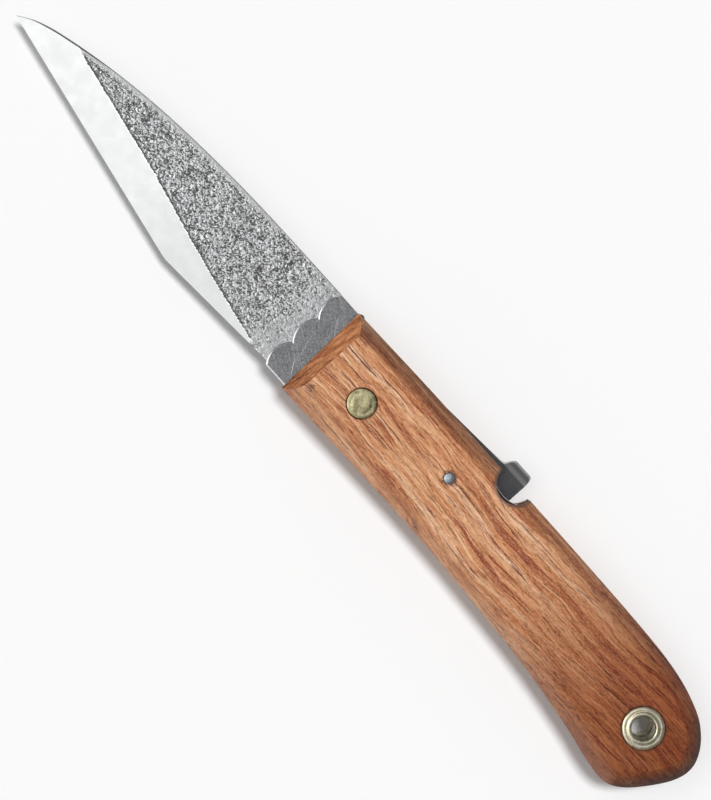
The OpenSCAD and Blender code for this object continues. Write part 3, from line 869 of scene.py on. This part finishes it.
def blade():
    """The blade in rings across its length: the near face with the bevel and the forged skin,
    the spine, and the plain far face."""
    n_near, n_far = 104, 6
    xs = list(np.linspace(TIP_X + 0.1, -16, 456))
    xs += [-15.3, -15.2, -15.18, -15, -14.6, -14.2, -13.9, -13.6, -13.2, -12.8, -12.62, -12.58,
           -11, -9, -7.36]
    xs += list(np.linspace(-7, 9, 28))
    bm = bmesh.new()
    rings = []
    for x in xs:
        lo, hi = y_low(x), y_high(x)
        chamfer = min(0.14 + 0.28 * ease(-x, 86, 100) * ease(x, -112, -106), 0.3 * (hi - lo))
        ring = []
        for i in range(n_near + 1):
            y = lo + (hi - chamfer - lo) * i / n_near
            pit, wave, shore, _ = pit_at(x, y)
            slow = noise.noise(Vector((x * 0.2, y * 0.28, 8.0))) * 0.05 if x < -20 else 0.0
            skin = BLADE_1 - 0.1 - 0.13 * pit * (0.45 + 0.55 * shore) + wave + slow
            z = min(bevel_plane(x, y), skin)
            ring.append(bm.verts.new((x, y, max(z, BLADE_0 + EDGE_T))))
        side = max(min(chamfer, 0.9), 0.05)
        z_top = ring[-1].co.z
        far_hi = hi - 0.1 * min(1, hi - lo)
        for y, z in ((hi, max(z_top - side * 0.9, BLADE_0 + EDGE_T)), (hi, BLADE_0 + 0.1),
                     (far_hi, BLADE_0)):
            ring.append(bm.verts.new((x, y, z)))
        for i in range(1, n_far + 1):
            ring.append(bm.verts.new((x, far_hi + (lo - far_hi) * i / n_far, BLADE_0)))
        rings.append(ring)
    m = len(rings[0])
    for a, b in zip(rings, rings[1:]):
        for i in range(m):
            k = (i + 1) % m
            bm.faces.new((a[i], b[i], b[k], a[k]))
    bm.faces.new(rings[0])
    bm.faces.new(rings[-1][::-1])
    ob = piece("blade_forged", bm)
    cut(ob, rod((0, 0), BORE_R, BLADE_0 - 1, BLADE_1 + 1, 64))
    tidy(ob, 38, 0.002)
    me = ob.data
    values = [pit_at(v.co.x / MM - PX, v.co.y / MM - PY) for v in me.vertices]
    for name, i in (("pit", 0), ("forged", 3)):
        data = me.attributes.new(name, "FLOAT", "POINT").data
        data.foreach_set("value", [v[i] for v in values])
    dress(ob, "blade_flat", "hammered", "bevel", "spine")
    for p in me.polygons:
        x, y, z = p.center.x / MM - PX, p.center.y / MM - PY, p.center.z / MM
        if p.normal.z > 0.3 and x < -13:
            if p.normal.y < 0.25:
                ground = abs(z - bevel_plane(x, y)) < 0.012 and x < BEVEL_END
                p.material_index = 2 if ground else 1
            else:
                p.material_index = 3
        elif p.normal.y > 0.5 and -108 < x < -15.3:
            p.material_index = 3
    settle(ob, "blade", "blade_steel", "blade")


blade()

# ---------------------------------------------------------------- rivet, pins and eyelets


def dome(z, h, r, rise, up=1):
    """A low domed head's outline, from its rim to its middle."""
    out = [(r - 0.12, z), (r, z + up * 0.12), (r, z + up * (h - 0.18))]
    for i in range(1, 9):
        a = math.radians(11.25 * i)
        out.append((r - 0.16 * (1 - math.cos(a)), z + up * (h - 0.18 + 0.18 * math.sin(a))))
    for i in range(1, 12):
        q = (r - 0.16) * (1 - i / 12)
        out.append((q, z + up * (h + rise * min(1, 2.6 * (1 - q / (r - 0.16))))))
    out.append((0, z + up * (h + rise)))
    return out


def rivet():
    """The pivot rivet, headed at both ends."""
    lo, hi = level("pivot_rivet", False), level("pivot_rivet", True)
    rise = 0.22
    near = dome(hi - rise - 1.3, 1.3, HEAD_R, rise)
    far = dome(lo + rise + 1.3, 1.3, HEAD_R, rise, -1)
    shaft = [(PIVOT_R, far[0][1]), (PIVOT_R, near[0][1])]
    bm = lathe(bmesh.new(), (0, 0), far[::-1] + shaft + near)
    # The marks of peening, in two shallow dishes
    for v in bm.verts:
        r = math.hypot(v.co.x, v.co.y)
        if r < HEAD_R - 0.3 and (v.co.z > hi - 0.6 or v.co.z < lo + 0.6):
            dent = 0.11 * (1 + noise.noise(Vector((v.co.x * 0.55, v.co.y * 0.55, v.co.z))))
            v.co.z -= dent * ease(r, HEAD_R - 0.3, HEAD_R - 1.1) * (1 if v.co.z > 8 else -1)
    ob = piece("pivot_rivet_brass", bm)
    tidy(ob, 50)
    dress(ob, "rivet")
    settle(ob, "handle", "rivet_brass", "pivot_rivet")


rivet()


def scale_pin(name, node, up):
    """A small pin through one scale, its outer end domed and dented."""
    lo, hi = level(node, False), level(node, True)
    r = SCALE_PIN_R
    pr = [(0, lo), (r - 0.1, lo), (r, lo + 0.1), (r, hi - 0.14)]
    pr += [(r * q, hi - 0.14 * (q ** 4)) for q in (0.96, 0.85, 0.7, 0.5, 0.25)] + [(0, hi)]
    if not up:
        pr = [(r_, lo + hi - z) for r_, z in pr]
    bm = lathe(bmesh.new(), SCALE_PIN, pr, 48)
    for v in bm.verts:
        end = v.co.z > hi - 0.2 if up else v.co.z < lo + 0.2
        if end and math.hypot(v.co.x - SCALE_PIN[0], v.co.y - SCALE_PIN[1]) < r - 0.1:
            v.co.z -= (0.06 if up else -0.06) * (0.5 + 0.5 * noise.noise(v.co * 1.6))
    ob = piece(name, bm)
    tidy(ob, 40)
    dress(ob, "pin")
    settle(ob, "handle", "pin_steel", node)


scale_pin("near_scale_pin_steel", "near_scale_pin", True)
scale_pin("far_scale_pin_steel", "far_scale_pin", False)


def eyelet(name, node, side):
    """A tube with its rolled lip: an outer skirt, a shallow trough, and the inner roll."""
    lo, hi = level(node, False), level(node, True)
    root, top = (lo, hi) if side > 0 else (hi, lo)

    def at(r, h):
        """r from the axis, h below the lip's crest."""
        return (r, top - side * h)
    pr = [(EYELET_R, root), (TUBE_R, root)]
    pr += [at(TUBE_R, 1.0), at(LIP_R - 0.05, 1.0), at(LIP_R, 0.92), at(LIP_R, 0.62)]
    for a in range(10, 91, 16):
        c, s = math.cos(math.radians(a)), math.sin(math.radians(a))
        pr.append(at(LIP_R - 0.55 * (1 - c), 0.62 - 0.42 * s))
    pr += [at(3.95, 0.19), at(3.72, 0.22), at(3.55, 0.2), at(3.42, 0.12)]
    for a in range(100, 190, 14):
        c, s = math.cos(math.radians(a)), math.sin(math.radians(a))
        pr.append(at(3.15 + 0.6 * c, 0.55 - 0.55 * s))
    pr += [at(EYELET_R, 0.75)]
    ob = piece(name, lathe(bmesh.new(), EYELET, pr, 112, closed=True))
    tidy(ob, 50)
    dress(ob, "eyelet")
    settle(ob, "handle", "eyelet_brass", node)


eyelet("near_eyelet_brass", "near_eyelet", 1)
eyelet("far_eyelet_brass", "far_eyelet", -1)


def spacer():
    """The strip between the liners, from the back's middle round the butt."""
    z0, z1 = level("back_spacer", False), level("back_spacer", True)
    outer = inset(handle_curve, 0.15)
    inner = inset(handle_curve, SPACER_W)

    def part(pts):
        """The stretch from the butt's middle, round the back, to the spacer's front."""
        x0 = SPACER_FRONT
        keep = [p for p in pts if p.y > 0 and p.x > x0]
        a = max([p for p in pts if p.y > 0 and p.x <= x0], key=lambda p: p.x)
        b = min([p for p in pts if p.y <= 0 and p.x > 95], key=lambda p: -p.y)
        first = b.lerp(keep[0], -b.y / (keep[0].y - b.y))
        last = keep[-1].lerp(a, (keep[-1].x - x0) / (keep[-1].x - a.x))
        return [first] + keep + [last]
    ring = part(outer) + part(inner)[::-1]
    ob = piece("back_spacer_strip", plate(ring, z0, z1, 0.08))
    cut(ob, *[rod(at, PIN_R, z0 - 1, z1 + 1) for at in SPACER_PINS])
    tidy(ob, 25)
    dress(ob, "liner")
    settle(ob, "handle", "liner_steel", "back_spacer")


spacer()

for node, mat, slot in (("near_washer", "washer", "washer_bronze"),
                        ("far_washer", "washer", "washer_bronze"),
                        ("stop_pin", "leaf", "leaf_steel"), ("spacer_pins", "pin", "pin_steel")):
    dress(frame["nodes"][node], mat)

# ---------------------------------------------------------------- stage, lights and camera


def floor():
    """A round pale floor, 5 m across."""
    bm = bmesh.new()
    n = 96
    near, far = [[bm.verts.new((*p, 0)) for p in arc((0, 0), r, 0, 360, n)[:-1]]
                 for r in (0.25, 2.5)]
    bm.faces.new(near)
    for i in range(n):
        k = (i + 1) % n
        bm.faces.new((near[i], far[i], far[k], near[k]))
    me = bpy.data.meshes.new("floor")
    bm.to_mesh(me)
    bm.free()
    ob = bpy.data.objects.new("floor", me)
    scene.collection.objects.link(ob)
    m = bpy.data.materials.new("floor_pale")
    m.use_nodes = True
    b = m.node_tree.nodes["Principled BSDF"]
    b.inputs["Base Color"].default_value = (0.95, 0.95, 0.95, 1)
    b.inputs["Emission Color"].default_value = (1, 1, 1, 1)
    b.inputs["Emission Strength"].default_value = 0.03
    b.inputs["Roughness"].default_value = 0.9
    b.inputs["Specular IOR Level"].default_value = 0.1
    me.materials.append(m)


floor()


def direction(azimuth, elevation):
    """A unit vector; azimuth 0 is +X and 90 is +Y."""
    a, e = math.radians(azimuth), math.radians(elevation)
    return Vector((math.cos(a) * math.cos(e), math.sin(a) * math.cos(e), math.sin(e)))


def sun(name, azimuth, elevation, spread, strength, glow=False):
    """A distant light, spread degrees across."""
    data = bpy.data.lights.new(name, "SUN")
    data.energy, data.angle = strength, math.radians(spread)
    ob = bpy.data.objects.new(name, data)
    ob.rotation_mode = "QUATERNION"
    ob.rotation_quaternion = direction(azimuth, elevation).to_track_quat("Z", "Y")
    # The key only lights and shades, and the glows only show in what mirrors them
    ob.visible_glossy, ob.visible_diffuse = glow, not glow
    scene.collection.objects.link(ob)


def glow(name, azimuth, elevation, radius, radiance):
    """A bright patch that only mirrors show."""
    sun(name, azimuth, elevation, 2 * radius,
        radiance * math.pi * math.sin(math.radians(radius)) ** 2, True)


sun("key", 84, 77, 12, 2.08)
glow("bevel_glow", 259, 47, 21, 0.65)
glow("rim_glow", 214, 40, 16, 1.7)
glow("bump_glow", 222, 63, 8, 1.7)

world = bpy.data.worlds.new("studio")
scene.world = world
world.use_nodes = True
wn = world.node_tree
bg = wn.nodes["Background"]


def lobe(azimuth, elevation, start, end, gain):
    """A soft bright patch of the studio: its radiance over the whole sky."""
    tc = wn.nodes.new("ShaderNodeTexCoord")
    dot = wn.nodes.new("ShaderNodeVectorMath")
    dot.operation = "DOT_PRODUCT"
    dot.inputs[1].default_value = direction(azimuth, elevation)
    wn.links.new(tc.outputs["Generated"], dot.inputs[0])
    m = wn.nodes.new("ShaderNodeMapRange")
    m.interpolation_type = "SMOOTHSTEP"
    wn.links.new(dot.outputs["Value"], m.inputs["Value"])
    m.inputs["From Min"].default_value = math.cos(math.radians(end))
    m.inputs["From Max"].default_value = math.cos(math.radians(start))
    m.inputs["To Min"].default_value, m.inputs["To Max"].default_value = 0, gain
    return m.outputs["Result"]


lift = wn.nodes.new("ShaderNodeMath")
lift.inputs[1].default_value = 0.2
wn.links.new(lobe(206, 72, 4, 32, 0.95), lift.inputs[0])
wn.links.new(lift.outputs[0], bg.inputs["Strength"])
bg.inputs["Color"].default_value = (1.0, 1.0, 1.0, 1)

# The camera looks straight down, turned so that the knife runs from the upper left
# to the lower right
CAMERA_OVER, CAMERA_UP, FOCUS_UP, PX_PER_MM = (-1.47, -0.48), 655.0, 10.5, 4.63
SENSOR, IMAGE_HEIGHT = 36, 800
cam_data = bpy.data.cameras.new("camera")
cam_data.sensor_width = SENSOR
cam_data.lens = PX_PER_MM * SENSOR * CAMERA_UP / IMAGE_HEIGHT
cam = bpy.data.objects.new("camera", cam_data)
scene.collection.objects.link(cam)
right, up = Vector((0.6649, 0.7469, 0)).normalized(), Vector((-0.7469, 0.6649, 0)).normalized()
rot = Matrix((right, up, Vector((0, 0, 1)))).transposed()
cam.matrix_world = Matrix.Translation(((CAMERA_OVER[0] + PX) * MM, (CAMERA_OVER[1] + PY) * MM,
                                       (CAMERA_UP + FOCUS_UP) * MM)) @ rot.to_4x4()
cam_data.clip_start, cam_data.clip_end = 0.01, 10
scene.camera = cam
